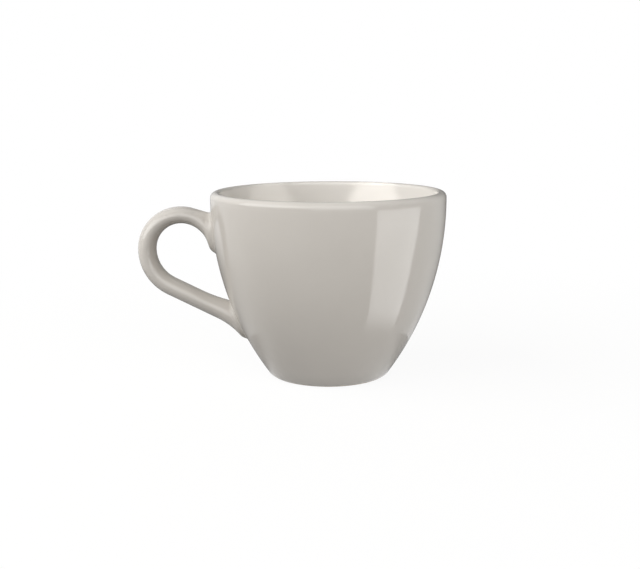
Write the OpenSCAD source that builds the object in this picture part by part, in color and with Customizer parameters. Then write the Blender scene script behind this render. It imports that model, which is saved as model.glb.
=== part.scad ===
// Glazed tea cup: a pressed clay bowl, a cast loop handle stuck on with slip, and the glaze coats.
// Millimetres, +Z up. The origin is on the bowl's axis in the plane of the foot, the handle points to -X.

/* [Bowl] */
// Outside diameter of the rim
rim_d = 90; // [82:0.5:100]
// Height from the foot to the crest of the lip
cup_h = 71.5; // [66:0.5:78]
// Height of the plumb band that ends the wall, lip included
plumb_band = 3.7; // [3:0.1:6]
// Radius of the outer wall's curve, seen from the side
wall_r = 114; // [104:1:126]
// Wall thickness at the rim
rim_wall = 3.4; // [2.8:0.1:4]
// Radius of the lip's inner rounding, the outer rounding takes the rest of the wall
lip_inner_r = 1.2; // [0.9:0.1:1.6]
// Radius of the inner wall's curve, seen from the side
inner_wall_r = 104; // [98:1:110]
// Radius between the inner wall and the floor
heel_r = 10; // [7:0.5:14]
// Thickness of the floor above the hollow underside
floor_t = 4.4; // [3.4:0.1:6]

/* [Foot] */
// Radius of the bowl's lower outside edge
foot_edge_r = 3.6; // [2.6:0.1:4.6]
// Width of the flat rim that the cup stands on
foot_w = 3.8; // [2.6:0.1:5]
// Depth of the hollow underside
recess_h = 1.6; // [1:0.1:2.4]
// How far the hollow's side leans in over its depth
recess_draft = 1.2; // [0.6:0.1:2]

/* [Handle] */
// Distance from the rim's outside to the centre of the loop's upper bend
loop_reach = 11.6; // [10:0.1:14]
// Distance from the lip down to the centre of the loop's upper bend
loop_drop = 22.3; // [19:0.1:25]
// Radius of the upper bend, on the middle of the strap
upper_bend_r = 13.3; // [12:0.1:15]
// Radius of the lower bend, on the middle of the strap
lower_bend_r = 16.1; // [13.6:0.1:18]
// Rise of the strap where it leaves the bowl at the top, in degrees
upper_rise = 16.5; // [10:0.5:22]
// Slope of the strap that runs back to the bowl, in degrees
lower_slope = 26.5; // [22:0.5:32]
// Thickness of the strap on its crown
crown_t = 6.4; // [5:0.1:7.4]
// Thickness of the strap from its outermost point down
strap_t = 7; // [6:0.1:8.4]
// Width of the strap
strap_w = 10.4; // [8:0.2:13]
// Width that the strap spreads to at both roots
root_w = 12.4; // [11:0.2:15]
// Radius of the fillet under the upper root
upper_fillet_r = 11.2; // [9.6:0.1:13]
// Turn of the fillet under the upper root, in degrees
upper_fillet_turn = 57; // [50:1:62]
// Length before the wall on which the lower root's inner edge flares
lower_inner_lead = 14; // [11:0.5:17]
// Radius of the flare on the lower root's inner edge
lower_inner_r = 60; // [50:1:70]
// Turn of the flare on the lower root's inner edge, in degrees
lower_inner_turn = 10; // [6:1:13]
// Length before the wall on which the lower root's outer edge flares
lower_outer_lead = 11.2; // [10:0.1:13]
// Radius of the flare on the lower root's outer edge
lower_outer_r = 27; // [23:1:31]
// Turn of the flare on the lower root's outer edge, in degrees
lower_outer_turn = 21; // [16:1:24]
// Radius of the rounded toe in which a root ends
toe_r = 3; // [2:0.1:4]
// Length of the edge between a fillet and its toe
toe_stem = 1.6; // [1:0.1:2.4]
// Turn of the upper toe back to the wall, in degrees
upper_toe_turn = 38; // [30:1:46]
// Turn of the lower toe back to the wall, in degrees
lower_toe_turn = 27; // [20:1:34]

/* [Slip and glaze] */
// Thickness of the slip between a root and the bowl
slip_t = 0.5; // [0.4:0.1:0.8]
// Thickness of the glaze coat
glaze_t = 0.3; // [0.2:0.05:0.5]
// Height of the bare clay above the foot's flat rim
bare_h = 0.6; // [0.6:0.1:1.2]

/* [Hidden] */
$fn = 96;
// How far a cutting shape runs past the surface that it cuts
OVERCUT = 1;
// Points round the strap's section
SECTION_POINTS = 24;

rim_r = rim_d / 2;
plumb_h = cup_h - plumb_band;
lip_outer_r = rim_wall - lip_inner_r;
crest_x = rim_r - lip_outer_r;
floor_h = recess_h + floor_t;

// Centres of the two circles that draw the outside, the wall's curve and the lower edge
wall_c = [rim_r - wall_r, plumb_h];
edge_c = [wall_c.x + sqrt((wall_r - foot_edge_r) ^ 2 - (plumb_h - foot_edge_r) ^ 2), foot_edge_r];
// Centres of the two circles that draw the inside
inner_c = [rim_r - rim_wall - inner_wall_r, plumb_h];
heel_z = floor_h + heel_r;
heel_c = [inner_c.x + sqrt((inner_wall_r - heel_r) ^ 2 - (plumb_h - heel_z) ^ 2), heel_z];
recess_r = edge_c.x - foot_w;

function unit(v) = v / norm(v);
// Point where a small circle touches the large circle that it lies in
function touch_point(large_c, small_c, small_r) = small_c + unit(small_c - large_c) * small_r;

// Space under a curve that ends in a plumb band: depth moves its surface towards the small circle
module cupped_region(large_c, large_r, small_c, small_r, top, depth) {
    meet = touch_point(large_c, small_c, small_r - depth);
    plumb_x = large_c.x + large_r - depth;
    polygon([[0, small_c.y - small_r + depth], [small_c.x, small_c.y - small_r + depth],
             small_c, meet, [0, meet.y]]);
    translate(small_c)
        intersection() {
            circle(small_r - depth);
            polygon([[0, 0], [0, -2 * small_r], [2 * small_r, -2 * small_r],
                     2 * (meet - small_c)]);
        }
    intersection() {
        translate(large_c) circle(large_r - depth, $fn = 360);
        translate([0, meet.y]) square([plumb_x + OVERCUT, plumb_h - meet.y]);
    }
    translate([0, plumb_h]) square([plumb_x, top - plumb_h]);
}

// Half section inside the bowl's outer surface, sunk by depth, up to the lip's outer rounding
module outside_region(depth) {
    cupped_region(wall_c, wall_r, edge_c, foot_edge_r, cup_h - lip_outer_r, depth);
}

// Half section of the drinking space, widened by depth
module inside_region(depth) {
    cupped_region(inner_c, inner_wall_r, heel_c, heel_r, cup_h + OVERCUT, -depth);
}

// Half section of the rounded lip above the start of its outer rounding, sunk by depth
module lip_region(depth) {
    inner_x = crest_x - lip_inner_r + depth;
    translate([inner_x, cup_h - lip_outer_r])
        square([crest_x - inner_x, lip_outer_r - lip_inner_r]);
    translate([crest_x, cup_h - lip_outer_r])
        intersection() {
            circle(lip_outer_r - depth);
            square(2 * lip_outer_r);
        }
    translate([crest_x, cup_h - lip_inner_r])
        intersection() {
            circle(lip_inner_r - depth);
            translate([-2 * lip_inner_r, 0]) square(2 * lip_inner_r);
        }
}

// Half section of the hollow underside, depth above its finished ceiling
module recess_region(depth) {
    lean = recess_draft / recess_h;
    top = recess_h + depth;
    polygon([[0, -OVERCUT], [recess_r + lean * OVERCUT, -OVERCUT],
             [recess_r - lean * top, top], [0, top]]);
}

// Half section of the wall and floor, sunk by depth all over but on the hollow underside
module wall_region(depth) {
    difference() {
        outside_region(depth);
        inside_region(depth);
    }
    lip_region(depth);
}

// Half section of the clay: the foot stays bare to bare_h, the rest leaves room for the glaze
module clay_region() {
    difference() {
        union() {
            wall_region(glaze_t);
            intersection() {
                outside_region(0);
                square([rim_r, bare_h]);
            }
        }
        recess_region(glaze_t);
    }
}

// Solid inside the bowl's outer wall, sunk by depth
module wall_solid(depth) {
    rotate_extrude() outside_region(depth);
}

// Loop of the handle, drawn to +X in a plane of [distance from the axis, height]
loop_c = [rim_r + loop_reach, cup_h - loop_drop];
lower_c = [loop_c.x + upper_bend_r - lower_bend_r, loop_c.y];

function heading(a) = [cos(a), sin(a)];
function mix(a, b, t) = a + (b - a) * t;
function ease(t) = t * t * (3 - 2 * t);
function line(p, a, length, n) = [for (i = [1:n]) p + heading(a) * length * i / n];
// Points after p on an arc that leaves it at heading a and turns by turn, positive to the left
function bend(p, a, r, turn, n) =
    let (side = sign(turn), c = p + heading(a + 90 * side) * r)
    [for (i = [1:n]) c + heading(a - 90 * side + turn * i / n) * r];
function last(list) = list[len(list) - 1];

// Steps along each stretch of the loop
CROWN_STEPS = 12;
SIDE_STEPS = 9;
RUN_STEPS = 4;
FILLET_STEPS = 7;
STEM_STEPS = 1;
TOE_STEPS = 4;
END_STEPS = 3;

crown_start = 90 + upper_rise;
// Headings of the strap as it runs back to the bowl, at the top and at the bottom
upper_back = 180 + upper_rise;
lower_back = 180 + lower_slope;
side_turn = 90 - lower_slope;

// One edge of the loop on its two bends, side is 1 for the outer edge and -1 for the inner
function edge_of_bends(side) = concat(
    [for (i = [0:CROWN_STEPS])
        let (t = i / CROWN_STEPS)
        loop_c + heading(mix(crown_start, 0, t)) * (upper_bend_r + side * mix(crown_t, strap_t, ease(t)) / 2)],
    [for (i = [1:SIDE_STEPS])
        lower_c + heading(-side_turn * i / SIDE_STEPS) * (lower_bend_r + side * strap_t / 2)]);

outer_bends = edge_of_bends(1);
inner_bends = edge_of_bends(-1);

// Distance from p at heading a to the curve of the bowl's outer wall
function to_wall(p, a) =
    let (from_c = p - wall_c, nearest = -from_c * heading(a))
    nearest - sqrt(max(0, nearest ^ 2 + wall_r ^ 2 - from_c * from_c));
// Length of strap that runs on inside the wall, before the roots are cut to its curve
bury = 0.3 * strap_t;
// Straight end of an edge, from p through the wall and a little on into the bowl
function root_end(p, a, n) = line(p, a, max(0, to_wall(p, a)) + bury, n);
// Root edge after p at heading a, with a toe that turns back by turn before it runs into the bowl
function toe(p, a, turn) =
    let (stem = line(p, a, toe_stem, STEM_STEPS), round = bend(last(stem), a, toe_r, -turn, TOE_STEPS))
    concat(stem, round, root_end(last(round), a - turn, END_STEPS));

// Stations of a root's end past its fillet, and of the whole root
END_STATIONS = STEM_STEPS + TOE_STEPS + END_STEPS;
ROOT_STATIONS = FILLET_STEPS + END_STATIONS;

// Upper root, from the crown back into the bowl
upper_fillet = bend(inner_bends[0], upper_back, upper_fillet_r, upper_fillet_turn, FILLET_STEPS);
upper_inner = concat(upper_fillet, toe(last(upper_fillet), upper_back + upper_fillet_turn, upper_toe_turn));
upper_outer = root_end(outer_bends[0], upper_back, ROOT_STATIONS);

// Straight strap and flare of the lower root, from the lower bend p, turn is positive on the outer edge
function lower_flare(p, lead, r, turn) =
    let (run = line(p, lower_back, to_wall(p, lower_back) - lead, RUN_STEPS))
    concat(run, bend(last(run), lower_back, r, turn, FILLET_STEPS));
outer_flare = lower_flare(last(outer_bends), lower_outer_lead, lower_outer_r, lower_outer_turn);
inner_flare = lower_flare(last(inner_bends), lower_inner_lead, lower_inner_r, -lower_inner_turn);
lower_outer = concat(outer_flare, toe(last(outer_flare), lower_back + lower_outer_turn, lower_toe_turn));
lower_inner = concat(inner_flare, root_end(last(inner_flare), lower_back - lower_inner_turn, END_STATIONS));

function reversed(list) = [for (i = [len(list) - 1:-1:0]) list[i]];
outer_edge = concat(reversed(upper_outer), outer_bends, lower_outer);
inner_edge = concat(reversed(upper_inner), inner_bends, lower_inner);

LAST = len(outer_edge) - 1;
// The strap spreads to its roots over their stations
function spread(i) = 1 - ease(min(1, min(i, LAST - i) / ROOT_STATIONS));
function half_w(i) = mix(strap_w, root_w, spread(i)) / 2;

// One oval ring of the strap at station i, sunk by depth
function ring(i, depth) =
    let (middle = (outer_edge[i] + inner_edge[i]) / 2,
         half = outer_edge[i] - middle,
         thick = half - unit(half) * depth,
         wide = half_w(i) - depth)
    [for (k = [0:SECTION_POINTS - 1])
        let (a = 360 * k / SECTION_POINTS, p = middle + thick * cos(a))
        [p.x, wide * sin(a), p.y]];

// Solid of the loop between two stations, sunk by depth
module strap(depth, from_i = 0, to_i = LAST) {
    n = SECTION_POINTS;
    rings = to_i - from_i + 1;
    points = [for (i = [from_i:to_i]) each ring(i, depth)];
    sides = [for (i = [0:rings - 2], k = [0:n - 1])
        let (a = i * n + k, b = i * n + (k + 1) % n)
        each [[a, b, b + n], [a, b + n, a + n]]];
    first_cap = [[for (k = [n - 1:-1:0]) k]];
    last_cap = [[for (k = [0:n - 1]) (rings - 1) * n + k]];
    rotate([0, 0, 180]) polyhedron(points, concat(sides, first_cap, last_cap));
}

module upper_root(depth) strap(depth, 0, ROOT_STATIONS);
module lower_root(depth) strap(depth, LAST - ROOT_STATIONS, LAST);

// Shell of slip on the bowl's outer wall, for a root to cut its own patch from
module slip_shell() {
    difference() {
        wall_solid(glaze_t - slip_t);
        wall_solid(glaze_t);
    }
}

module bowl() {
    color("tan") rotate_extrude() clay_region();
}

module handle() {
    color("burlywood")
        difference() {
            strap(glaze_t);
            wall_solid(glaze_t - slip_t);
        }
}

module upper_slip_joint() {
    color("peru")
        intersection() {
            upper_root(glaze_t);
            slip_shell();
        }
}

module lower_slip_joint() {
    color("peru")
        intersection() {
            lower_root(glaze_t);
            slip_shell();
        }
}

module bowl_glaze() {
    color("gainsboro")
        difference() {
            rotate_extrude()
                difference() {
                    wall_region(0);
                    clay_region();
                    recess_region(glaze_t);
                }
            // The roots interrupt the coat outside, and not the one inside the bowl
            difference() {
                union() {
                    upper_root(0);
                    lower_root(0);
                }
                wall_solid(rim_wall / 2);
            }
        }
}

module handle_glaze() {
    color("lightgray")
        difference() {
            strap(0);
            strap(glaze_t);
            wall_solid(glaze_t);
        }
}

module base_glaze() {
    color("whitesmoke")
        rotate_extrude()
            difference() {
                recess_region(glaze_t);
                translate([0, recess_h - cup_h]) square([rim_r, cup_h]);
            }
}

bowl();
handle();
upper_slip_joint();
lower_slip_joint();
bowl_glaze();
handle_glaze();
base_glaze();
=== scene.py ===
"""Studio scene of a glazed tea cup: glaze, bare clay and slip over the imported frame, lamps and camera."""

import logging
import math
from dataclasses import dataclass
from enum import Enum
from functools import partial

import bpy
from mathutils import Matrix, Vector

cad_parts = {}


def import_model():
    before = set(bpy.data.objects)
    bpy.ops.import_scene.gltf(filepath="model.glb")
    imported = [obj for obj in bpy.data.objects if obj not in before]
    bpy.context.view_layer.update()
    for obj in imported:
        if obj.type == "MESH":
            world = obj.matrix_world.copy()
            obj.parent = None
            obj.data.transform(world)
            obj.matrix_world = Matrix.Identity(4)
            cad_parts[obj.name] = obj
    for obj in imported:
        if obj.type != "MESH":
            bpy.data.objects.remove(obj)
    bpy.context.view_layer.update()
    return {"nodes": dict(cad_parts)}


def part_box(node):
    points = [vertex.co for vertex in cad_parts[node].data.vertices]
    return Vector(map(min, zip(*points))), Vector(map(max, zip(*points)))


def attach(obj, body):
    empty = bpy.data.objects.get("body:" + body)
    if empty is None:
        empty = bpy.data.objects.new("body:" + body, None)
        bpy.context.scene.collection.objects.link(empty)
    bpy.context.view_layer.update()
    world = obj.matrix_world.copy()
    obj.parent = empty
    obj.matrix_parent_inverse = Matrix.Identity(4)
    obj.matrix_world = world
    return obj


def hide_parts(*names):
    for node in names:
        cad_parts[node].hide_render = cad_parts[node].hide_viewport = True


LOG = logging.getLogger("tea_cup")
BODY = "root"
MM = 0.001
# Vertices of a closed skin that lie nearer than this, in metres, are one
SEAL = 2e-6
# Points that the lamps and the camera face, in metres
CUP_MIDDLE = Vector((0.0, 0.0, 0.036))
VIEW_MIDDLE = Vector((-0.0033, 0.0, 0.035))

Socket = bpy.types.NodeSocket


def add_node(tree: bpy.types.NodeTree, kind: str, settings: dict[str, object] | None = None,
             feeds: dict[str | int, object] | None = None) -> bpy.types.Node:
    """Add a node, set its properties and feed its inputs.

    Args:
        tree: node tree that gets the node.
        kind: type of the node, such as ShaderNodeMath.
        settings: properties of the node by name.
        feeds: output sockets to link, or plain values, by the input's name or number.

    Returns:
        The new node.
    """
    node = tree.nodes.new(kind)
    for name, value in (settings or {}).items():
        setattr(node, name, value)
    for name, value in (feeds or {}).items():
        if isinstance(value, bpy.types.NodeSocket):
            tree.links.new(value, node.inputs[name])
        else:
            node.inputs[name].default_value = value
    return node


def linear(hex_colour: str) -> tuple[float, float, float, float]:
    """Turn an sRGB hex colour into linear RGBA.

    Args:
        hex_colour: colour as #RRGGBB.

    Returns:
        Linear red, green, blue and an alpha of 1.
    """
    shares = [int(hex_colour[i:i + 2], 16) / 255 for i in (1, 3, 5)]
    red, green, blue = [s / 12.92 if s <= 0.04045 else ((s + 0.055) / 1.055) ** 2.4 for s in shares]
    return red, green, blue, 1.0


def heading(degrees: float) -> Vector:
    """Unit vector of a direction in the plane of [distance from the axis, height]."""
    return Vector((math.cos(math.radians(degrees)), math.sin(math.radians(degrees))))


def arc(centre: Vector, radius: float, start: float, end: float, steps: int) -> list[Vector]:
    """Points on an arc, both ends included.

    Args:
        centre: centre of the arc, in mm.
        radius: radius of the arc, in mm.
        start: angle of the first point, in degrees.
        end: angle of the last point, in degrees.
        steps: number of equal steps.

    Returns:
        The points, in mm.
    """
    return [centre + heading(start + (end - start) * i / steps) * radius for i in range(steps + 1)]


def spaced(points: list[Vector], steps: int) -> list[Vector]:
    """Points at equal steps along a path.

    Args:
        points: corners of the path.
        steps: number of equal steps.

    Returns:
        The points, both ends included.
    """
    lengths = [(b - a).length for a, b in zip(points, points[1:])]
    total = sum(lengths)
    result = [points[0]]
    for i in range(1, steps + 1):
        left = total * i / steps
        k = 0
        while k < len(lengths) - 1 and left > lengths[k]:
            left -= lengths[k]
            k += 1
        result.append(points[k].lerp(points[k + 1], left / lengths[k]))
    return result


def along(points: list[Vector], place: float) -> Vector:
    """Point of a path at a place that is counted in its points."""
    k = min(int(place), len(points) - 2)
    return points[k].lerp(points[k + 1], place - k)


def ease(t: float) -> float:
    """Smooth step from 0 to 1."""
    return t * t * (3 - 2 * t)


class ShapeTree:
    """Geometry Nodes that lay a lattice over the rows of a host mesh and close it to a plain mesh."""

    def __init__(self, name: str, inputs: dict[str, str]) -> None:
        """Make the tree, its named inputs and its lattice.

        Args:
            name: name of the tree.
            inputs: socket type of each named input. One of them is Columns and one Material.
        """
        self.tree = bpy.data.node_groups.new(name, "GeometryNodeTree")
        self.node = partial(add_node, self.tree)
        face = self.tree.interface
        face.new_socket("Geometry", in_out="INPUT", socket_type="NodeSocketGeometry")
        face.new_socket("Geometry", in_out="OUTPUT", socket_type="NodeSocketGeometry")
        self.keys = {label: face.new_socket(label, in_out="INPUT", socket_type=kind).identifier
                     for label, kind in inputs.items()}
        self.given = self.node("NodeGroupInput").outputs
        self._lay_lattice()

    def _lay_lattice(self) -> None:
        """Make the grid of columns and rows, and the fields that tell a point its row and angle."""
        node = self.node
        size = node("GeometryNodeAttributeDomainSize", None, {0: self.given["Geometry"]})
        rows = size.outputs["Point Count"]
        columns = self.given["Columns"]
        across = node("FunctionNodeIntegerMath", {"operation": "ADD"}, {0: columns, 1: 1}).outputs[0]
        grid = node("GeometryNodeMeshGrid", None, {"Vertices X": across, "Vertices Y": rows})
        self.grid = grid.outputs["Mesh"]
        index = node("GeometryNodeInputIndex").outputs[0]
        place = {0: index, 1: rows}
        column = node("FunctionNodeIntegerMath", {"operation": "DIVIDE_FLOOR"}, place).outputs[0]
        self.row = node("FunctionNodeIntegerMath", {"operation": "MODULO"}, place).outputs[0]
        share = node("ShaderNodeMath", {"operation": "DIVIDE"}, {0: column, 1: columns}).outputs[0]
        self.angle = node("ShaderNodeMath", {"operation": "MULTIPLY"}, {0: share, 1: math.tau}).outputs[0]

    def of_row(self, name: str, data_type: str) -> Socket:
        """Field of a host attribute, read at the lattice point's own row.

        Args:
            name: name of the host's attribute, position included.
            data_type: FLOAT or FLOAT_VECTOR.

        Returns:
            The socket of the field.
        """
        value = self.node("GeometryNodeInputNamedAttribute", {"data_type": data_type}, {"Name": name})
        feeds = {"Geometry": self.given["Geometry"], "Value": value.outputs["Attribute"], "Index": self.row}
        return self.node("GeometryNodeSampleIndex", {"data_type": data_type}, feeds).outputs[0]

    def close(self, position: Socket) -> None:
        """Move the lattice to its shape, seal its seams and give it its material.

        Args:
            position: field of the final positions.
        """
        node = self.node
        shape = node("GeometryNodeSetPosition", None, {"Geometry": self.grid, "Position": position})
        # Keeps each row's glaze depth, which below 0 paints the glaze pale as painted light
        pool = node("GeometryNodeStoreNamedAttribute", {"data_type": "FLOAT", "domain": "POINT"},
                    {"Geometry": shape.outputs[0], "Name": "pool", "Value": self.of_row("pool", "FLOAT")})
        sealed = node("GeometryNodeMergeByDistance", None, {"Geometry": pool.outputs[0], "Distance": SEAL})
        smooth = node("GeometryNodeSetShadeSmooth", None, {"Geometry": sealed.outputs[0]})
        real = node("GeometryNodeRealizeInstances", None, {"Geometry": smooth.outputs[0]})
        dressed = node("GeometryNodeSetMaterial", None,
                       {"Geometry": real.outputs[0], "Material": self.given["Material"]})
        node("NodeGroupOutput", None, {"Geometry": dressed.outputs[0]})

    def grow(self, name: str, host: bpy.types.Mesh, values: dict[str, object]) -> bpy.types.Object:
        """Run the tree on a host mesh and keep the result as a plain mesh.

        Args:
            name: name of the new piece.
            host: mesh whose vertices are the rows.
            values: value of each named input.

        Returns:
            The piece, at the origin, with no modifier.
        """
        piece = bpy.data.objects.new(name, host)
        bpy.context.scene.collection.objects.link(piece)
        modifier = piece.modifiers.new("grow", "NODES")
        modifier.node_group = self.tree
        for label, value in values.items():
            modifier[self.keys[label]] = value
        depsgraph = bpy.context.evaluated_depsgraph_get()
        grown = piece.evaluated_get(depsgraph)
        mesh = bpy.data.meshes.new_from_object(grown, preserve_all_data_layers=True, depsgraph=depsgraph)
        mesh.name = name
        piece.modifiers.clear()
        piece.data = mesh
        bpy.data.meshes.remove(host)
        return piece


class RevolveTree(ShapeTree):
    """Turns a half section in the XZ plane about the Z axis."""

    def __init__(self) -> None:
        """Make the tree: each lattice point is its row's section point, turned by its column's angle."""
        super().__init__("revolve", {"Columns": "NodeSocketInt", "Material": "NodeSocketMaterial"})
        section = self.of_row("position", "FLOAT_VECTOR")
        turned = self.node("ShaderNodeVectorRotate", {"rotation_type": "Z_AXIS"},
                           {"Vector": section, "Angle": self.angle})
        self.close(turned.outputs[0])


class StrapTree(ShapeTree):
    """Sweeps an oval section along its rows and seats both ends on the bowl with a fillet."""

    def __init__(self) -> None:
        """Make the tree: oval points, the corner on the bowl of each column, and the fillet's foot."""
        super().__init__("strap", {"Columns": "NodeSocketInt", "Bowl": "NodeSocketObject",
                                   "Material": "NodeSocketMaterial"})
        self.cos = self.node("ShaderNodeMath", {"operation": "COSINE"}, {0: self.angle}).outputs[0]
        self.sin = self.node("ShaderNodeMath", {"operation": "SINE"}, {0: self.angle}).outputs[0]
        half = self.of_row("half", "FLOAT_VECTOR")
        half_width = self.of_row("half_width", "FLOAT")
        oval = self._oval(self.of_row("position", "FLOAT_VECTOR"), half, half_width)
        end = self._oval(self.of_row("end", "FLOAT_VECTOR"), self.of_row("end_half", "FLOAT_VECTOR"),
                         self.of_row("end_width", "FLOAT"))
        self.close(self._seated(oval, end, self._outward(half, half_width)))

    def _number(self, operation: str, first: Socket, second: Socket) -> Socket:
        """Field of an operation on two numbers."""
        return self.node("ShaderNodeMath", {"operation": operation}, {0: first, 1: second}).outputs[0]

    def _pair(self, operation: str, first: Socket, second: Socket) -> bpy.types.Node:
        """Node of an operation on two vectors."""
        return self.node("ShaderNodeVectorMath", {"operation": operation}, {0: first, 1: second})

    def _vector(self, operation: str, first: Socket, second: Socket) -> Socket:
        """Field of an operation on two vectors that gives a vector."""
        return self._pair(operation, first, second).outputs["Vector"]

    def _measure(self, operation: str, first: Socket, second: Socket) -> Socket:
        """Field of an operation on two vectors that gives a number."""
        return self._pair(operation, first, second).outputs["Value"]

    def _scaled(self, vector: Socket, share: Socket) -> Socket:
        """Field of a vector times a number."""
        scale = self.node("ShaderNodeVectorMath", {"operation": "SCALE"}, {0: vector, "Scale": share})
        return scale.outputs["Vector"]

    def _sideways(self, length: Socket) -> Socket:
        """Field of vectors along Y, across the strap."""
        return self.node("ShaderNodeCombineXYZ", None, {"Y": length}).outputs[0]

    def _oval(self, middle: Socket, half: Socket, half_width: Socket) -> Socket:
        """Field of the points on an oval.

        Args:
            middle: centre of the oval.
            half: vector from the centre to the oval's outer edge.
            half_width: half of the oval's size along Y.

        Returns:
            The socket of the field.
        """
        swing = self._scaled(half, self.cos)
        aside = self._sideways(self._number("MULTIPLY", half_width, self.sin))
        return self._vector("ADD", middle, self._vector("ADD", swing, aside))

    def _outward(self, half: Socket, half_width: Socket) -> Socket:
        """Field of the directions that lead out of an oval, square to it.

        Args:
            half: vector from the oval's centre to its outer edge.
            half_width: half of the oval's size along Y.

        Returns:
            The socket of the field.
        """
        steep = self._number("DIVIDE", self.cos, self._measure("DOT_PRODUCT", half, half))
        flat = self._number("DIVIDE", self.sin, half_width)
        return self._vector("ADD", self._scaled(half, steep), self._sideways(flat))

    def _on_bowl(self, bowl: Socket, field: str, near: Socket) -> Socket:
        """Field of what the bowl has at the point of its surface that is nearest.

        Args:
            bowl: geometry of the bowl's coat.
            field: type of the node that gives the wanted field, such as a position or a normal.
            near: points to start from.

        Returns:
            The socket of the field.
        """
        feeds = {"Mesh": bowl, "Value": self.node(field).outputs[0], "Sample Position": near}
        sample = self.node("GeometryNodeSampleNearestSurface", {"data_type": "FLOAT_VECTOR"}, feeds)
        return sample.outputs["Value"]

    def _seated(self, oval: Socket, end: Socket, outward: Socket) -> Socket:
        """Field of the final points: the oval, drawn to the corner and the fillet's foot.

        Args:
            oval: points on the row's oval.
            end: points of the oval in which the strap meets the bowl.
            outward: directions that lead out of the row's oval.

        Returns:
            The socket of the field.
        """
        node = self.node
        bowl = node("GeometryNodeObjectInfo", None, {"Object": self.given["Bowl"]}).outputs["Geometry"]
        corner = self._on_bowl(bowl, "GeometryNodeInputPosition", end)
        normal = self._on_bowl(bowl, "GeometryNodeInputNormal", end)
        # Direction on the bowl that leads away from the strap
        level = self._vector("SUBTRACT", outward, self._vector("PROJECT", outward, normal))
        away = node("ShaderNodeVectorMath", {"operation": "NORMALIZE"}, {0: level}).outputs["Vector"]
        # Foot of the fillet, as far from the corner on the bowl as the oval is on the strap
        leg = self._measure("DISTANCE", oval, corner)
        stride = self._number("MULTIPLY", leg, self.of_row("reach", "FLOAT"))
        near = self._vector("ADD", corner, self._scaled(away, stride))
        foot = node("GeometryNodeProximity", {"target_element": "FACES"},
                    {0: bowl, "Sample Position": near}).outputs["Position"]
        point = oval
        for goal, share in ((corner, "to_corner"), (foot, "to_foot")):
            way = self._vector("SUBTRACT", goal, oval)
            point = self._vector("ADD", point, self._scaled(way, self.of_row(share, "FLOAT")))
        return self._vector("SUBTRACT", point, self._scaled(normal, self.of_row("sink", "FLOAT")))


def host_mesh(name: str, places: list[Vector],
              fields: dict[str, list[float] | list[Vector]]) -> bpy.types.Mesh:
    """Mesh of loose vertices that carries the rows of a shape tree.

    Args:
        name: name of the mesh.
        places: position of each row, in metres.
        fields: numbers or vectors of each attribute, one for each row.

    Returns:
        The mesh.
    """
    mesh = bpy.data.meshes.new(name)
    mesh.from_pydata(places, [], [])
    for label, values in fields.items():
        if isinstance(values[0], Vector):
            data = mesh.attributes.new(label, "FLOAT_VECTOR", "POINT").data
            data.foreach_set("vector", [number for vector in values for number in vector])
        else:
            mesh.attributes.new(label, "FLOAT", "POINT").data.foreach_set("value", values)
    return mesh


@dataclass(frozen=True)
class GlossyGlaze:
    """Glossy stoneware glaze, dipped and fired to a glassy coat.

    To the eye it is a warm light grey with sharp reflections. Inside the bowl its colour is painted pale,
    as painted light for the brighter light there; on the lip it is a little pale, partly where the glaze
    breaks thin and partly as a painted highlight. It is deeper at the foot and in the handle's fillets. Its
    skin has a faint wave.
    """

    name: str = "glossy_stoneware_glaze"
    colour: str = "#C2BDB6"
    cloud: str = "#BCB7B0"
    # Painted light: paler colour for the brighter light inside the bowl and, on the lip, partly a painted
    # highlight
    painted_light_pale: str = "#D8D4CE"
    pooled: str = "#B6B1AA"
    ior: float = 1.5
    roughness: float = 0.07
    roughness_spread: float = 0.05
    # Sizes of the clouds in the colour and of the orange peel, and the peel's height, all in mm
    cloud_size: float = 18.0
    peel_size: float = 3.2
    peel_height: float = 0.0012
    cloud_detail: float = 3.0
    peel_detail: float = 1.0

    def material(self) -> bpy.types.Material:
        """Make the node material.

        Returns:
            The material.
        """
        material = bpy.data.materials.new(self.name)
        material.use_nodes = True
        tree = material.node_tree
        node = partial(add_node, tree)
        shader = tree.nodes["Principled BSDF"]
        place = node("ShaderNodeTexCoord").outputs["Object"]
        clouds = node("ShaderNodeTexNoise", None, {"Vector": place, "Scale": 1 / (self.cloud_size * MM),
                                                   "Detail": self.cloud_detail}).outputs["Fac"]
        pool = node("ShaderNodeAttribute", {"attribute_name": "pool"}).outputs["Fac"]
        deep = node("ShaderNodeMath", {"operation": "MAXIMUM"}, {0: pool, 1: 0.0})
        # Painted light: below 0 the attribute paints the paler colour, fully inside the bowl and partly on
        # the lip
        bare = node("ShaderNodeMath", {"operation": "MULTIPLY"}, {0: pool, 1: -1.0})
        painted_light_share = node("ShaderNodeMath", {"operation": "MAXIMUM"}, {0: bare.outputs[0], 1: 0.0})
        colour = node("ShaderNodeMix", {"data_type": "RGBA"},
                      {"Factor": clouds, 6: linear(self.colour), 7: linear(self.cloud)}).outputs[2]
        # Deeper glaze darkens the colour, and the painted-light share paints it paler
        for share, hue in ((deep.outputs[0], self.pooled), (painted_light_share.outputs[0], self.painted_light_pale)):
            colour = node("ShaderNodeMix", {"data_type": "RGBA"},
                          {"Factor": share, 6: colour, 7: linear(hue)}).outputs[2]
        gloss = node("ShaderNodeMapRange", None, {"Value": clouds, "To Min": self.roughness,
                                                  "To Max": self.roughness + self.roughness_spread})
        peel = node("ShaderNodeTexNoise", None, {"Vector": place, "Scale": 1 / (self.peel_size * MM),
                                                 "Detail": self.peel_detail}).outputs["Fac"]
        bump = node("ShaderNodeBump", None, {"Distance": self.peel_height * MM, "Height": peel})
        tree.links.new(colour, shader.inputs["Base Color"])
        tree.links.new(gloss.outputs["Result"], shader.inputs["Roughness"])
        tree.links.new(bump.outputs["Normal"], shader.inputs["Normal"])
        shader.inputs["IOR"].default_value = self.ior
        return material


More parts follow.
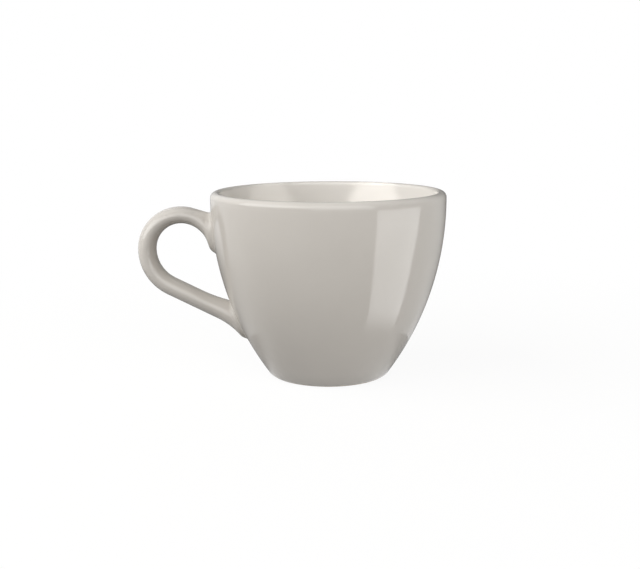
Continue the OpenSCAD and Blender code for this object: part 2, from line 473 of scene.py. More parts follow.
@dataclass(frozen=True)
class FiredClay:
    """Fired stoneware without glaze, either the pressed body or the slip that joins two pieces.

    To the eye it is a dry, matt biscuit colour with fine grit and a few darker grains.
    """

    name: str
    colour: str
    shade: str
    grain: str
    roughness: float
    # Sizes of the grit and of the darker grains, and the height of the grit, all in mm
    grit_size: float
    grain_size: float
    grit_height: float
    # Distance from a grain's middle at which it ends, as a share of its cell
    grain_share: float = 0.16
    grit_detail: float = 4.0

    def material(self) -> bpy.types.Material:
        """Make the node material.

        Returns:
            The material.
        """
        material = bpy.data.materials.new(self.name)
        material.use_nodes = True
        tree = material.node_tree
        node = partial(add_node, tree)
        shader = tree.nodes["Principled BSDF"]
        place = node("ShaderNodeTexCoord").outputs["Object"]
        grit = node("ShaderNodeTexNoise", None, {"Vector": place, "Scale": 1 / (self.grit_size * MM),
                                                 "Detail": self.grit_detail}).outputs["Fac"]
        cells = node("ShaderNodeTexVoronoi", None, {"Vector": place, "Scale": 1 / (self.grain_size * MM)})
        speck = node("ShaderNodeMath", {"operation": "LESS_THAN"},
                     {0: cells.outputs["Distance"], 1: self.grain_share})
        body = node("ShaderNodeMix", {"data_type": "RGBA"},
                    {"Factor": grit, 6: linear(self.colour), 7: linear(self.shade)})
        colour = node("ShaderNodeMix", {"data_type": "RGBA"},
                      {"Factor": speck.outputs[0], 6: body.outputs[2], 7: linear(self.grain)})
        bump = node("ShaderNodeBump", None, {"Distance": self.grit_height * MM, "Height": grit})
        tree.links.new(colour.outputs[2], shader.inputs["Base Color"])
        tree.links.new(bump.outputs["Normal"], shader.inputs["Normal"])
        shader.inputs["Roughness"].default_value = self.roughness
        return material


BISCUIT = FiredClay("fired_stoneware_biscuit", "#CFC3B0", "#B9AB96", "#8C7B66", 0.78, 0.5, 1.6, 0.05)
JOINING_SLIP = FiredClay("fired_joining_slip", "#C6B9A5", "#B4A690", "#94836E", 0.85, 0.25, 1.1, 0.02)


class Side(Enum):
    """Edge of the handle's strap."""

    OUTER = 1
    INNER = -1


@dataclass
class Bowl:
    """Clay bowl with its two glaze coats, all of them turned about the cup's axis. Sizes in mm."""

    rim_r: float
    height: float
    plumb_band: float = 3.7
    wall_r: float = 114.0
    rim_wall: float = 3.4
    lip_inner_r: float = 1.2
    inner_wall_r: float = 104.0
    heel_r: float = 10.0
    floor_t: float = 4.4
    foot_edge_r: float = 3.6
    foot_w: float = 3.8
    recess_h: float = 1.6
    recess_draft: float = 1.2
    glaze_t: float = 0.3
    bare_h: float = 0.6
    # Rounding of the clay foot's inner edge, and how far the base glaze creeps down the hollow's side
    foot_round: float = 0.5
    creep: float = 0.5
    # Gap between the clay and the back of the coat, so that their faces don't coincide
    back_gap: float = 0.01
    # Shares of the pale colour on the lip's crest and outer rounding, which fades out this many
    # roundings below the crest, and the height in lower edges up to which the glaze pools at the foot.
    # The pale colour is partly glaze that breaks thin at the rim and partly a painted highlight; from the
    # crest it grows to full inside the bowl, as painted light for the brighter light there.
    crest_thin_and_painted_light: float = 0.3
    lip_thin_and_painted_light: float = 0.2
    lip_fade: float = 1.6
    foot_pool: float = 1.5
    columns: int = 256
    # Steps of the section's stretches on the clay, of which the coat's face has twice as many
    edge_steps: int = 6
    wall_steps: int = 20
    lip_steps: int = 5
    inner_lip_steps: int = 4
    inner_wall_steps: int = 16
    heel_steps: int = 8
    floor_steps: int = 3
    foot_steps: int = 8
    round_steps: int = 5
    flat_steps: int = 8
    back_steps: int = 4
    ceiling_steps: int = 6
    # Angles in degrees: between the points of the coat's bead and of the base coat's bend, and of the
    # bare lower edge that ends short of the coat
    bead_step: int = 30
    bend_step: int = 15
    bare_end: float = 3.0

    def __post_init__(self) -> None:
        """Work out the centres of the section's arcs."""
        self.plumb_h = self.height - self.plumb_band
        self.lip_outer_r = self.rim_wall - self.lip_inner_r
        self.crest_x = self.rim_r - self.lip_outer_r
        self.floor_h = self.recess_h + self.floor_t
        self.wall_c = Vector((self.rim_r - self.wall_r, self.plumb_h))
        self.edge_c = self._nested(self.wall_c, self.wall_r, self.foot_edge_r, self.foot_edge_r)
        self.inner_c = Vector((self.rim_r - self.rim_wall - self.inner_wall_r, self.plumb_h))
        self.heel_c = self._nested(self.inner_c, self.inner_wall_r, self.heel_r, self.floor_h + self.heel_r)
        self.recess_r = self.edge_c.x - self.foot_w

    @staticmethod
    def _nested(centre: Vector, large_r: float, small_r: float, height: float) -> Vector:
        """Centre of a small circle that touches a large one from inside.

        Args:
            centre: centre of the large circle.
            large_r: radius of the large circle.
            small_r: radius of the small circle.
            height: height of the small circle's centre.

        Returns:
            The small circle's centre.
        """
        reach = math.sqrt((large_r - small_r) ** 2 - (centre.y - height) ** 2)
        return Vector((centre.x + reach, height))

    @staticmethod
    def _meeting(large_c: Vector, small_c: Vector) -> float:
        """Angle in degrees at which two touching circles meet."""
        way = small_c - large_c
        return math.degrees(math.atan2(way.y, way.x))

    def _bare_angle(self) -> float:
        """Angle on the lower edge, in degrees, where the coat's rounded end begins."""
        drop = self.bare_h + self.glaze_t / 2 - self.foot_edge_r
        return math.degrees(math.asin(drop / self.foot_edge_r))

    def _outside(self, depth: float, start: float, fine: int) -> list[Vector]:
        """Outer surface from its lower edge up to the lip's crest.

        Args:
            depth: distance below the finished surface.
            start: angle on the lower edge where it starts, in degrees.
            fine: steps per arc are multiplied by this.

        Returns:
            Points of the section.
        """
        meet = self._meeting(self.wall_c, self.edge_c)
        lip_c = Vector((self.crest_x, self.height - self.lip_outer_r))
        return (arc(self.edge_c, self.foot_edge_r - depth, start, meet, self.edge_steps * fine)
                + arc(self.wall_c, self.wall_r - depth, meet, 0.0, self.wall_steps * fine)[1:]
                + arc(lip_c, self.lip_outer_r - depth, 0.0, 90.0, self.lip_steps * fine))

    def _inside(self, depth: float, fine: int) -> list[Vector]:
        """Inner surface from the lip's crest down to the axis.

        Args:
            depth: distance below the finished surface.
            fine: steps per arc are multiplied by this.

        Returns:
            Points of the section.
        """
        meet = self._meeting(self.inner_c, self.heel_c)
        lip_c = Vector((self.crest_x, self.height - self.lip_inner_r))
        floor = Vector((0.0, self.floor_h - depth))
        heel = arc(self.heel_c, self.heel_r + depth, meet, -90.0, self.heel_steps * fine)
        return (arc(lip_c, self.lip_inner_r - depth, 90.0, 180.0, self.inner_lip_steps * fine)[1:]
                + arc(self.inner_c, self.inner_wall_r + depth, 0.0, meet, self.inner_wall_steps * fine)
                + heel[1:] + spaced([heel[-1], floor], self.floor_steps * fine)[1:])

    def _coat_section(self) -> list[Vector]:
        """Closed section of the coat over the outside, the lip and the inside."""
        start = self._bare_angle()
        bead_r = self.glaze_t / 2
        out = heading(start)
        down = heading(start - 90.0)
        bead_c = self.edge_c + out * (self.foot_edge_r - bead_r)
        bead = [bead_c + (down * math.sin(math.radians(a)) - out * math.cos(math.radians(a))) * bead_r
                for a in range(self.bead_step, 181, self.bead_step)]
        back = self._outside(self.glaze_t, start, 1) + self._inside(self.glaze_t, 1)
        return self._outside(0.0, start, 2) + self._inside(0.0, 2) + back[::-1] + bead

    def _clay_section(self) -> list[Vector]:
        """Section of the clay, from the axis on the underside round to the axis on the floor."""
        lean = self.recess_draft / self.recess_h
        top = self.recess_h + self.glaze_t
        depth = self.glaze_t + self.back_gap
        ceiling = [Vector((0.0, top)), Vector((self.recess_r - lean * top, top))]
        side = math.degrees(math.atan2(1.0, lean))
        shift = self.foot_round / math.tan(math.radians((180.0 - side) / 2))
        round_c = Vector((self.recess_r + shift, self.foot_round))
        start = self._bare_angle()
        return (spaced(ceiling, self.ceiling_steps)
                + arc(round_c, self.foot_round, 270.0 - side, 270.0, self.round_steps)
                + arc(self.edge_c, self.foot_edge_r, -90.0, start - self.bare_end, self.foot_steps)
                + self._outside(depth, start, 1) + self._inside(depth, 1))

    def _base_section(self) -> list[Vector]:
        """Closed section of the coat in the hollow underside, which creeps down the hollow's side."""
        lean = self.recess_draft / self.recess_h
        top = self.recess_h + self.glaze_t
        low = self.recess_h - self.creep
        tip = Vector((self.recess_r - lean * low, low))
        bend = Vector((tip.x - 2 * self.creep, self.recess_h - self.creep))
        curve = [Vector((bend.x + self.creep * 2 * math.sin(a), bend.y + self.creep * math.cos(a)))
                 for a in (math.radians(degrees) for degrees in range(0, 91, self.bend_step))]
        flat = spaced([Vector((0.0, self.recess_h)), curve[0]], self.flat_steps)
        rim = Vector((self.recess_r - lean * top, top))
        return flat + curve[1:] + spaced([rim, Vector((0.0, top))], self.back_steps)

    def _pool_and_painted_light(self, point: Vector) -> float:
        """Glaze depth at a section point, above 0 where it pools at the foot, with painted light below 0:
        pale on the lip, partly glaze that breaks thin and partly a painted highlight, and fully pale inside
        the bowl for the brighter light there.
        """
        drop = self.height - point.y
        within = (point - self.inner_c).length < self.inner_wall_r + self.rim_wall / 2
        # Painted light: the whole inside is painted pale, from the crest's share down the inner lip to full
        if within and point.y > self.recess_h * 2:
            fade = self.crest_thin_and_painted_light + (1.0 - self.crest_thin_and_painted_light) * drop / self.lip_inner_r
            return -ease(min(1.0, fade))
        lip = max(0.0, 1.0 - drop / (self.lip_fade * self.lip_outer_r))
        foot = max(0.0, 1.0 - point.y / (self.foot_pool * self.foot_edge_r))
        return foot - self.lip_thin_and_painted_light * lip

    def _turned(self, tree: RevolveTree, name: str, section: list[Vector],
                material: bpy.types.Material) -> bpy.types.Object:
        """Turn a section about the axis.

        Args:
            tree: the revolving tree.
            name: name of the piece.
            section: points of the half section, in mm.
            material: finish of the piece.

        Returns:
            The piece.
        """
        places = [Vector((p.x, 0.0, p.y)) * MM for p in section]
        host = host_mesh(name, places, {"pool": [self._pool_and_painted_light(p) for p in section]})
        return tree.grow(name, host, {"Columns": self.columns, "Material": material})

    def build(self, glaze: bpy.types.Material, clay: bpy.types.Material) -> dict[str, bpy.types.Object]:
        """Make the clay and its coats.

        Args:
            glaze: finish of the coats.
            clay: finish of the bare clay.

        Returns:
            The pieces by the name of the node that each stands for.
        """
        tree = RevolveTree()
        coat = self._coat_section()
        return {"bowl_glaze": self._turned(tree, "glaze_on_bowl", coat + coat[:1], glaze),
                "bowl": self._turned(tree, "clay_bowl", self._clay_section(), clay),
                "base_glaze": self._turned(tree, "glaze_on_base", self._base_section(), glaze)}


@dataclass
class Ring:
    """One oval of the strap, in mm, in the plane of [distance from the axis, height]."""

    outer: Vector
    inner: Vector
    half_width: float

    def middle(self) -> Vector:
        """Centre of the oval."""
        return (self.outer + self.inner) / 2

    def half(self) -> Vector:
        """Vector from the centre to the outer edge."""
        return (self.outer - self.inner) / 2

    def sunk(self, depth: float) -> "Ring":
        """The oval, smaller by depth all round."""
        inset = self.half().normalized() * depth
        return Ring(self.outer - inset, self.inner + inset, self.half_width - depth)


@dataclass
class Row:
    """One row of the strap's lattice, with its shares of the corner and of the fillet's foot."""

    ring: Ring
    end: Ring
    to_corner: float = 0.0
    to_foot: float = 0.0
    reach: float = 1.0
    sink: float = 0.0
    # Glaze depth; below 0 it paints the glaze pale as painted light
    pool: float = 0.0


@dataclass
class Handle:
    """Loop handle: an oval strap with two bends, spread and filleted at the bowl. Sizes in mm."""

    bowl: Bowl
    loop_reach: float = 11.6
    loop_drop: float = 22.3
    upper_bend_r: float = 13.3
    lower_bend_r: float = 16.1
    upper_rise: float = 16.5
    lower_slope: float = 26.5
    crown_t: float = 6.4
    strap_t: float = 7.0
    strap_w: float = 10.4
    root_w: float = 12.4
    upper_fillet_r: float = 11.2
    upper_fillet_turn: float = 57.0
    lower_inner_lead: float = 14.0
    lower_inner_r: float = 60.0
    lower_inner_turn: float = 10.0
    lower_outer_lead: float = 11.2
    lower_outer_r: float = 27.0
    lower_outer_turn: float = 21.0
    toe_r: float = 3.0
    toe_stem: float = 1.6
    upper_toe_turn: float = 38.0
    lower_toe_turn: float = 27.0
    # Lengths of the outer and the inner edge that the glazed fillets round the roots take up
    upper_legs: tuple[float, float] = (1.8, 0.9)
    lower_legs: tuple[float, float] = (0.8, 0.8)
    # Length of strap that runs on inside the wall
    bury: float = 2.1
    # How far the coat runs on under the bowl's own coat, as a share of the leg, and how deep it ends
    tail: float = 1.15
    tail_sink: float = 0.03
    end_sink: float = 0.2
    columns: int = 72
    fillet_steps: int = 14
    # Depth of the glaze in the middle of a fillet
    fillet_pool: float = 0.6
    # Step, in points of an edge, of the search for the place where a fillet begins
    landing_step: float = 0.05
    # The coat's hidden back has one row for so many of its face
    back_stride: int = 3
    # Rows on the upper and on the lower bend
    crown_rows: int = 56
    bend_rows: int = 40
    # Rows along the stretches of an edge: the run, the fillet, and the stem, toe and end of a root
    run_rows: int = 24
    fillet_rows: int = 42
    stem_rows: int = 6
    toe_rows: int = 24
    end_rows: int = 18

    def __post_init__(self) -> None:
        """Work out the centres of the two bends."""
        self.loop_c = Vector((self.bowl.rim_r + self.loop_reach, self.bowl.height - self.loop_drop))
        self.lower_c = Vector((self.loop_c.x + self.upper_bend_r - self.lower_bend_r, self.loop_c.y))
        self.upper_back = 180.0 + self.upper_rise
        self.lower_back = 180.0 + self.lower_slope
        self.tip_rows = self.stem_rows + self.toe_rows + self.end_rows
        self.root_rows = self.fillet_rows + self.tip_rows

    def _bends(self, side: Side) -> list[Vector]:
        """One edge of the strap on its two bends, from the crown down."""
        crown_start = 90.0 + self.upper_rise
        crown = []
        for i in range(self.crown_rows + 1):
            t = i / self.crown_rows
            thick = self.crown_t + (self.strap_t - self.crown_t) * ease(t)
            radius = self.upper_bend_r + side.value * thick / 2
            crown.append(self.loop_c + heading(crown_start * (1 - t)) * radius)
        lower_r = self.lower_bend_r + side.value * self.strap_t / 2
        return crown + arc(self.lower_c, lower_r, 0.0, self.lower_slope - 90.0, self.bend_rows)[1:]

    def _reach(self, point: Vector, back: float) -> float:
        """Length of a straight edge up to the curve of the bowl's wall.

        Args:
            point: start of the edge.
            back: heading of the edge, in degrees.

        Returns:
            The length, in mm.
        """
        way = point - self.bowl.wall_c
        nearest = -way.dot(heading(back))
        return nearest - math.sqrt(nearest ** 2 + self.bowl.wall_r ** 2 - way.dot(way))

    def _gap(self, point: Vector) -> float:
        """Distance of a point from the bowl's wall, in mm."""
        return (point - self.bowl.wall_c).length - self.bowl.wall_r

    def _straight(self, point: Vector, back: float, rows: int) -> list[Vector]:
        """Straight end of an edge, through the wall and a little on into the bowl."""
        return spaced([point, point + heading(back) * (self._reach(point, back) + self.bury)], rows)[1:]

    def _bent(self, point: Vector, back: float, radius: float, turn: float, rows: int) -> list[Vector]:
        """Bend that leaves a point at a heading and turns, positive to the left."""
        side = math.copysign(90.0, turn)
        centre = point + heading(back + side) * radius
        return arc(centre, radius, back - side, back - side + turn, rows)[1:]

    def _toe(self, point: Vector, back: float, turn: float) -> list[Vector]:
        """End of an edge with a rounded toe that turns back to the wall."""
        stem = spaced([point, point + heading(back) * self.toe_stem], self.stem_rows)[1:]
        toe = self._bent(stem[-1], back, self.toe_r, -turn, self.toe_rows)
        return stem + toe + self._straight(toe[-1], back - turn, self.end_rows)

    def _upper_root(self, side: Side) -> list[Vector]:
        """One edge of the upper root, from the crown into the bowl."""
        start = self._bends(side)[0]
        if side is Side.OUTER:
            return [start] + self._straight(start, self.upper_back, self.root_rows)
        turn = self.upper_fillet_turn
        fillet = self._bent(start, self.upper_back, self.upper_fillet_r, turn, self.fillet_rows)
        return [start] + fillet + self._toe(fillet[-1], self.upper_back + turn, self.upper_toe_turn)

    def _flare(self, side: Side, lead: float, radius: float, turn: float) -> list[Vector]:
        """One edge of the straight strap and of the lower root's flare.

        Args:
            side: which edge.
            lead: length before the wall on which the edge flares.
            radius: radius of the flare.
            turn: turn of the flare in degrees, positive on the outer edge.

        Returns:
            Points of the edge, from the lower bend.
        """
        start = self._bends(side)[-1]
        length = self._reach(start, self.lower_back) - lead
        run = spaced([start, start + heading(self.lower_back) * length], self.run_rows)
        return run + self._bent(run[-1], self.lower_back, radius, turn, self.fillet_rows)

    def _lower_root(self, side: Side) -> list[Vector]:
        """One edge of the straight strap and the lower root, from the lower bend into the bowl."""
        if side is Side.OUTER:
            edge = self._flare(side, self.lower_outer_lead, self.lower_outer_r, self.lower_outer_turn)
            return edge + self._toe(edge[-1], self.lower_back + self.lower_outer_turn, self.lower_toe_turn)
        edge = self._flare(side, self.lower_inner_lead, self.lower_inner_r, -self.lower_inner_turn)
        return edge + self._straight(edge[-1], self.lower_back - self.lower_inner_turn, self.tip_rows)

    def _landing(self, edge: list[Vector], leg: float) -> tuple[float, float]:
        """Where an edge meets the bowl.

        Args:
            edge: points of the edge, from the bend into the bowl.
            leg: length of the edge before the bowl that the fillet takes up.

        Returns:
            Where the fillet begins and where the wall is met, as places on the edge counted in its points.
        """
        gaps = [self._gap(point) for point in edge]
        k = next(i for i, gap in enumerate(gaps) if gap <= 0)
        met = k - gaps[k] / (gaps[k] - gaps[k - 1])
        place = met
        while (along(edge, place) - along(edge, met)).length < leg:
            place -= self.landing_step
        return place, met

    def _ring_at(self, edges: tuple[list[Vector], list[Vector]], places: list[float]) -> Ring:
        """Ring between a place on the outer edge and one on the inner edge, wider the nearer the bowl."""
        plain = len(edges[0]) - 1 - self.root_rows
        share = ease(max(0.0, (sum(places) / 2 - plain) / self.root_rows))
        outer, inner = [along(edge, place) for edge, place in zip(edges, places)]
        return Ring(outer, inner, (self.strap_w + (self.root_w - self.strap_w) * share) / 2)

    def _root_rings(self, edges: tuple[list[Vector], list[Vector]],
                    legs: tuple[float, float]) -> tuple[list[Ring], Ring]:
        """Rings of one root, up to where its fillet begins.

        Args:
            edges: outer and inner edge, from the bend into the bowl.
            legs: length of each edge that the fillet takes up.

        Returns:
            The rings and the ring that lies on the bowl.
        """
        stops, ends = zip(*[self._landing(edge, leg) for edge, leg in zip(edges, legs)])
        rows = range(math.ceil(max(stops)) + 1)
        rings = [self._ring_at(edges, [min(float(i), stop) for stop in stops]) for i in rows]
        return rings, self._ring_at(edges, ends)

    def _fillet_rows(self, ring: Ring, end: Ring) -> list[Row]:
        """Rows of one fillet, from the strap to the bowl and on under the bowl's coat."""
        rows = []
        for i in range(1, self.fillet_steps + 1):
            u = i / self.fillet_steps
            pool = self.fillet_pool * math.sin(math.pi * u)
            rows.append(Row(ring, end, 2 * u * (1 - u), u * u, pool=pool))
        for sink in (self.tail_sink, self.end_sink):
            rows.append(Row(ring, end, 0.0, 1.0, self.tail, sink))
        return rows

    def _rows(self) -> list[Row]:
        """Rows of the whole coat: outside from the upper root to the lower one, then back inside."""
        edges = [(self._upper_root(side), self._bends(side), self._lower_root(side)) for side in Side]
        (upper_out, bends_out, lower_out), (upper_in, bends_in, lower_in) = edges
        upper, upper_end = self._root_rings((upper_out, upper_in), self.upper_legs)
        lower, lower_end = self._root_rings((lower_out, lower_in), self.lower_legs)
        loop = [Ring(a, b, self.strap_w / 2) for a, b in zip(bends_out, bends_in)]
        strap = upper[::-1] + loop[1:] + lower[1:]
        outside = (self._fillet_rows(upper[-1], upper_end)[::-1] + [Row(ring, ring) for ring in strap]
                   + self._fillet_rows(lower[-1], lower_end))
        depth = self.bowl.glaze_t
        inside = [Row(ring.sunk(depth), ring.sunk(depth)) for ring in strap[::-self.back_stride]]
        corners = [Row(ring.sunk(depth), end.sunk(depth), to_corner=1.0, sink=depth / 2)
                   for ring, end in ((lower[-1], lower_end), (upper[-1], upper_end))]
        return outside + corners[:1] + inside + corners[1:] + outside[:1]

    @staticmethod
    def _placed(point: Vector) -> Vector:
        """A point of the handle's plane in metres in the frame, where the handle points to -X."""
        return Vector((-point.x, 0.0, point.y)) * MM

    def build(self, bowl_coat: bpy.types.Object, glaze: bpy.types.Material) -> dict[str, bpy.types.Object]:
        """Make the coat round the handle.

        Args:
            bowl_coat: coat of the bowl, on which the roots are seated.
            glaze: finish of the coat.

        Returns:
            The piece by the name of the node that it stands for.
        """
        rows = self._rows()
        fields = {"half": [self._placed(row.ring.half()) for row in rows],
                  "half_width": [row.ring.half_width * MM for row in rows],
                  "end": [self._placed(row.end.middle()) for row in rows],
                  "end_half": [self._placed(row.end.half()) for row in rows],
                  "end_width": [row.end.half_width * MM for row in rows],
                  "to_corner": [row.to_corner for row in rows],
                  "to_foot": [row.to_foot for row in rows],
                  "reach": [row.reach for row in rows],
                  "sink": [row.sink * MM for row in rows],
                  "pool": [row.pool for row in rows]}
        host = host_mesh("glaze_on_handle", [self._placed(row.ring.middle()) for row in rows], fields)
        values = {"Columns": self.columns, "Bowl": bowl_coat, "Material": glaze}
        return {"handle_glaze": StrapTree().grow("glaze_on_handle", host, values)}


def around(azimuth: float, elevation: float = 0.0) -> Vector:
    """Direction from the cup, in degrees. Azimuth 0 is the camera's side and 90 is the cup's right."""
    across, up = math.radians(azimuth), math.radians(elevation)
    return Vector((math.sin(across) * math.cos(up), -math.cos(across) * math.cos(up), math.sin(up)))


def hold(thing: bpy.types.ID, way: Vector, place: Vector) -> bpy.types.Object:
    """Put a lamp into the scene.

    Args:
        thing: the lamp's data.
        way: direction from what it faces to the lamp.
        place: where it stands, in metres.

    Returns:
        The new object.
    """
    holder = bpy.data.objects.new(thing.name, thing)
    holder.location = place
    holder.rotation_euler = way.to_track_quat("Z", "Y").to_euler()
    bpy.context.scene.collection.objects.link(holder)
    return holder


@dataclass(frozen=True)
class Softbox:
    """Rectangular softbox that faces the cup. Angles in degrees, sizes in metres.

    Radiance 1 is a white card in plain light.
    """

    name: str
    azimuth: float
    elevation: float
    distance: float
    width: float
    height: float
    radiance: float

    # Watts for each square metre of a lamp of radiance 1
    WATTS = 4.0

    def build(self) -> None:
        """Place the lamp. The glaze doesn't mirror it, because the cards stand in for it there."""
        lamp = bpy.data.lights.new(self.name, "AREA")
        lamp.shape = "RECTANGLE"
        lamp.size = self.width
        lamp.size_y = self.height
        lamp.energy = self.radiance * self.width * self.height * self.WATTS
        way = around(self.azimuth, self.elevation)
        holder = hold(lamp, way, CUP_MIDDLE + way * self.distance)
        holder.visible_glossy = False


@dataclass(frozen=True)
class WindowSlit:
    """Square beam over the front lip that lights one patch inside the bowl. Angles in degrees."""

    name: str
    azimuth: float
    elevation: float
    distance: float
    # Point inside the bowl that it is aimed at, and half the patch's width, in metres
    spot: Vector
    half_width: float
    watts: float
    soft_share: float = 0.06
    bulb_r: float = 0.002

    def build(self) -> None:
        """Place the lamp."""
        lamp = bpy.data.lights.new(self.name, "SPOT")
        lamp.use_square = True
        lamp.spot_size = 2 * math.atan(self.half_width / self.distance)
        lamp.spot_blend = self.soft_share
        lamp.shadow_soft_size = self.bulb_r
        lamp.energy = self.watts
        way = around(self.azimuth, self.elevation)
        hold(lamp, way, self.spot + way * self.distance)


@dataclass(frozen=True)
class CardEdge:
    """Edge of a card round the cup: radius and height in metres, azimuths of its ends, radiance."""

    radius: float
    height: float
    start: float
    end: float
    radiance: float

    def points(self, steps: int) -> list[Vector]:
        """Points on the edge, both ends included."""
        spans = [self.start + (self.end - self.start) * i / steps for i in range(steps + 1)]
        return [around(azimuth) * self.radius + Vector((0.0, 0.0, self.height)) for azimuth in spans]


@dataclass(frozen=True)
class Card:
    """Card that only the glaze's reflections show, a painted reflection: a bright reflector, a dark flag
    for a dark edge, or the cup's shadow on the floor.
    """

    name: str
    edges: tuple[CardEdge, ...]
    # Share of the card's length, at each of its two sides, on which it fades to the white surroundings
    fade: float = 0.0

    STEPS = 48

    def _glow(self, edge: CardEdge) -> list[float]:
        """Radiance of the points on an edge."""
        result = []
        for i in range(self.STEPS + 1):
            inset = min(i, self.STEPS - i) / self.STEPS
            share = 1.0 if inset >= self.fade else ease(inset / self.fade)
            result.append(1.0 + (edge.radiance - 1.0) * share)
        return result

    def build(self) -> None:
        """Place the card."""
        mesh = bpy.data.meshes.new(self.name)
        count = self.STEPS + 1
        starts = [row * count + i for row in range(len(self.edges) - 1) for i in range(self.STEPS)]
        mesh.from_pydata([point for edge in self.edges for point in edge.points(self.STEPS)], [],
                         [(i, i + 1, i + 1 + count, i + count) for i in starts])
        glow = [value for edge in self.edges for value in self._glow(edge)]
        mesh.attributes.new("glow", "FLOAT", "POINT").data.foreach_set("value", glow)
        mesh.materials.append(self._material())
        card = bpy.data.objects.new(self.name, mesh)
        bpy.context.scene.collection.objects.link(card)
        card.visible_camera = False
        card.visible_diffuse = False
        card.visible_transmission = False
        card.visible_volume_scatter = False
        card.visible_shadow = False

    def _material(self) -> bpy.types.Material:
        """Make the card's glow."""
        material = bpy.data.materials.new(self.name)
        material.use_nodes = True
        tree = material.node_tree
        tree.nodes.remove(tree.nodes["Principled BSDF"])
        strength = add_node(tree, "ShaderNodeAttribute", {"attribute_name": "glow"}).outputs["Fac"]
        glow = add_node(tree, "ShaderNodeEmission", None, {"Strength": strength})
        tree.links.new(glow.outputs[0], tree.nodes["Material Output"].inputs["Surface"])
        return material


@dataclass
class Studio:
    """Pale floor, white surroundings, soft lamps, and cards for the glaze to mirror."""

    gear: tuple[Softbox | WindowSlit | Card, ...]
    fill: float = 0.2
    # Colours of the floor to the eye, and of the light that it throws back on the cup
    paper: str = "#F4F2EE"
    bounce: str = "#908E8B"
    floor_half: float = 3.0
    floor_drop: float = 0.02 * MM
    # Share of the floor's look that stays white beside the cup, the rest shows the cup's shadow, and the
    # distances from the cup's axis between which it goes over to plain white
    floor_white: float = 0.93
    shadow_near: float = 0.08
    shadow_far: float = 0.3

    @staticmethod
    def _seen(tree: bpy.types.NodeTree) -> Socket:
        """Socket that is 1 for rays that show the surroundings: straight, mirrored or through glass."""
        path = add_node(tree, "ShaderNodeLightPath").outputs
        seen = path["Is Camera Ray"]
        for label in ("Is Glossy Ray", "Is Transmission Ray"):
            more = {0: seen, 1: path[label]}
            seen = add_node(tree, "ShaderNodeMath", {"operation": "MAXIMUM"}, more).outputs[0]
        return seen

    def _light_world(self) -> None:
        """Make the surroundings white to the eye and a dimmer fill on the cup."""
        world = bpy.data.worlds.new("surroundings")
        world.use_nodes = True
        tree = world.node_tree
        strength = add_node(tree, "ShaderNodeMapRange", None,
                            {"Value": self._seen(tree), "To Min": self.fill})
        back = tree.nodes["Background"]
        back.inputs["Color"].default_value = linear("#FFFFFF")
        tree.links.new(strength.outputs["Result"], back.inputs["Strength"])
        bpy.context.scene.world = world

    def _lay_floor(self) -> None:
        """Lay the floor, white to the eye apart from the cup's shadow."""
        half, low = self.floor_half, -self.floor_drop
        mesh = bpy.data.meshes.new("floor")
        corners = [(-half, -half, low), (half, -half, low), (half, half, low), (-half, half, low)]
        mesh.from_pydata(corners, [], [(0, 1, 2, 3)])
        floor = bpy.data.objects.new("floor", mesh)
        bpy.context.scene.collection.objects.link(floor)
        paper = bpy.data.materials.new("matt_paper_sweep")
        paper.use_nodes = True
        tree = paper.node_tree
        tree.nodes.remove(tree.nodes["Principled BSDF"])
        seen = self._seen(tree)
        shade = add_node(tree, "ShaderNodeMix", {"data_type": "RGBA"},
                         {"Factor": seen, 6: linear(self.bounce), 7: linear(self.paper)})
        matt = add_node(tree, "ShaderNodeBsdfDiffuse", None, {"Color": shade.outputs[2]})
        white = add_node(tree, "ShaderNodeEmission", None, {"Color": linear("#FFFFFF")})
        place = add_node(tree, "ShaderNodeTexCoord").outputs["Object"]
        away = add_node(tree, "ShaderNodeVectorMath", {"operation": "LENGTH"}, {0: place}).outputs["Value"]
        plain = add_node(tree, "ShaderNodeMapRange", {"interpolation_type": "SMOOTHSTEP"},
                         {"Value": away, "From Min": self.shadow_near, "From Max": self.shadow_far,
                          "To Min": self.floor_white})
        share = add_node(tree, "ShaderNodeMath", {"operation": "MULTIPLY"},
                         {0: seen, 1: plain.outputs["Result"]})
        look = add_node(tree, "ShaderNodeMixShader", None,
                        {0: share.outputs[0], 1: matt.outputs[0], 2: white.outputs[0]})
        tree.links.new(look.outputs[0], tree.nodes["Material Output"].inputs["Surface"])
        mesh.materials.append(paper)

    def build(self) -> None:
        """Make the floor, the surroundings, the lamps and the cards."""
        self._light_world()
        self._lay_floor()
        for piece in self.gear:
            piece.build()
        bpy.context.scene.view_settings.view_transform = "Standard"


@dataclass(frozen=True)
class Viewpoint:
    """Camera at the photograph's viewing angle. Lengths in metres, angles in degrees."""

    aim: Vector
    distance: float = 0.4
    elevation: float = 10.49
    roll: float = -0.285
    sensor_mm: float = 36.0
    lens_mm: float = 57.88
    clip_start: float = 0.01

    def build(self) -> None:
        """Place the camera and make it the scene's own."""
        camera = bpy.data.cameras.new("camera")
        camera.sensor_width = self.sensor_mm
        camera.lens = self.lens_mm
        camera.clip_start = self.clip_start
        up = math.radians(self.elevation)
        back = Vector((0.0, -math.cos(up), math.sin(up)))
        turn = back.to_track_quat("Z", "Y").to_matrix() @ Matrix.Rotation(math.radians(self.roll), 3, "Z")
        holder = bpy.data.objects.new("camera", camera)
        holder.location = self.aim + back * self.distance
        holder.rotation_euler = turn.to_euler()
        bpy.context.scene.collection.objects.link(holder)
        bpy.context.scene.camera = holder
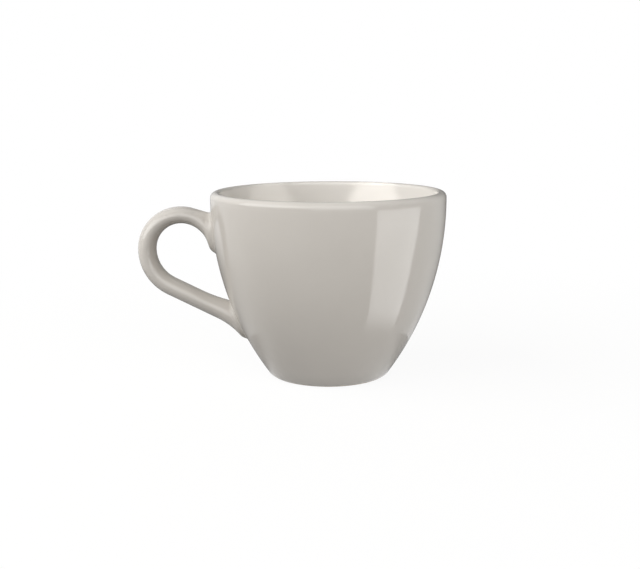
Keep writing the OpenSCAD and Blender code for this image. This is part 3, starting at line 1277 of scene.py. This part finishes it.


# Softboxes light the cup, slits light two patches inside it, and cards are painted reflections that only
# its glaze mirrors
GEAR = (
    Softbox("left_softbox", -74.0, 36.0, 0.9, 0.9, 0.9, 2.65),
    Softbox("front_softbox", -14.0, 36.0, 0.9, 1.15, 0.22, 3.5),
    Softbox("right_softbox", 50.0, 9.0, 0.9, 0.36, 0.2, 7.0),
    Softbox("low_right_strip", 57.0, -4.0, 0.3, 0.12, 0.016, 22.0),
    Softbox("back_softbox", 172.0, 16.0, 0.9, 1.0, 0.4, 1.9),
    WindowSlit("window_slit", -12.0, 30.0, 0.5, Vector((0.0190, 0.035, 0.0615)), 0.0115, 3.8),
    WindowSlit("left_window_slit", 14.0, 30.0, 0.5, Vector((-0.0237, 0.034, 0.0615)), 0.0102, 2.3),
    Card("left_reflector", (CardEdge(0.8, 0.15, -92.0, -18.0, 4.2),
                            CardEdge(0.8, 0.45, -92.0, -18.0, 4.0),
                            CardEdge(0.8, 0.8, -92.0, -18.0, 2.4))),
    Card("front_reflector", (CardEdge(0.8, 0.03, -18.0, 42.0, 3.0),
                             CardEdge(0.8, 0.7, -18.0, 42.0, 3.0),
                             CardEdge(0.8, 1.2, -18.0, 42.0, 1.8))),
    Card("floor_reflector", (CardEdge(0.05, 0.0005, 32.0, 64.0, 1.0),
                             CardEdge(0.07, 0.0005, 36.0, 72.0, 3.6),
                             CardEdge(0.165, 0.0005, 40.0, 82.0, 3.6),
                             CardEdge(0.56, 0.0005, 44.4, 93.0, 3.6),
                             CardEdge(0.8, 0.0005, 45.5, 95.0, 3.6))),
    # Painted reflection: a brighter floor in front of the foot
    Card("floor_glow", (CardEdge(0.02, 0.0003, -50.0, 75.0, 1.5),
                        CardEdge(0.042, 0.0003, -50.0, 75.0, 1.05),
                        CardEdge(0.07, 0.0003, -50.0, 75.0, 1.0)), 0.25),
    # Painted reflection: dark surroundings behind the cup, for its dark edges
    Card("dark_backdrop", (CardEdge(0.03, 0.0004, 105.0, 278.0, 0.15),
                           CardEdge(0.15, 0.0004, 105.0, 278.0, 0.15),
                           CardEdge(0.15, 0.06, 108.0, 228.0, 0.15),
                           CardEdge(0.15, 0.25, 108.0, 228.0, 0.15)), 0.3),
    # Painted shadow: a dark sheet that only the reflections show, for the cup's shadow on the floor beside
    # the foot
    Card("foot_shadow", (CardEdge(0.02, 0.0006, 66.0, 294.0, 0.3),
                         CardEdge(0.05, 0.0006, 66.0, 294.0, 0.4)), 0.1),
)


def main() -> None:
    """Load the frame, build each sub-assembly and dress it."""
    logging.basicConfig(level=logging.INFO, format="%(name)s: %(message)s")
    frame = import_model()
    _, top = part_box("bowl_glaze")
    Viewpoint(VIEW_MIDDLE).build()
    Studio(GEAR).build()

    glaze = GlossyGlaze().material()
    clay = BISCUIT.material()
    slip = JOINING_SLIP.material()
    bowl = Bowl(rim_r=top.x / MM, height=top.z / MM)
    pieces = bowl.build(glaze, clay)
    pieces |= Handle(bowl).build(pieces["bowl_glaze"], glaze)
    for node, piece in pieces.items():
        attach(piece, BODY)
        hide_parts(node)
        LOG.info("%s stands for %s, %d faces", piece.name, node, len(piece.data.polygons))
    for node, material in (("handle", clay), ("upper_slip_joint", slip),
                           ("lower_slip_joint", slip)):
        slots = frame["nodes"][node].material_slots
        slots[0].material = material
        LOG.info("%s is dressed in %s", node, material.name)


if __name__ == "__main__":
    main()
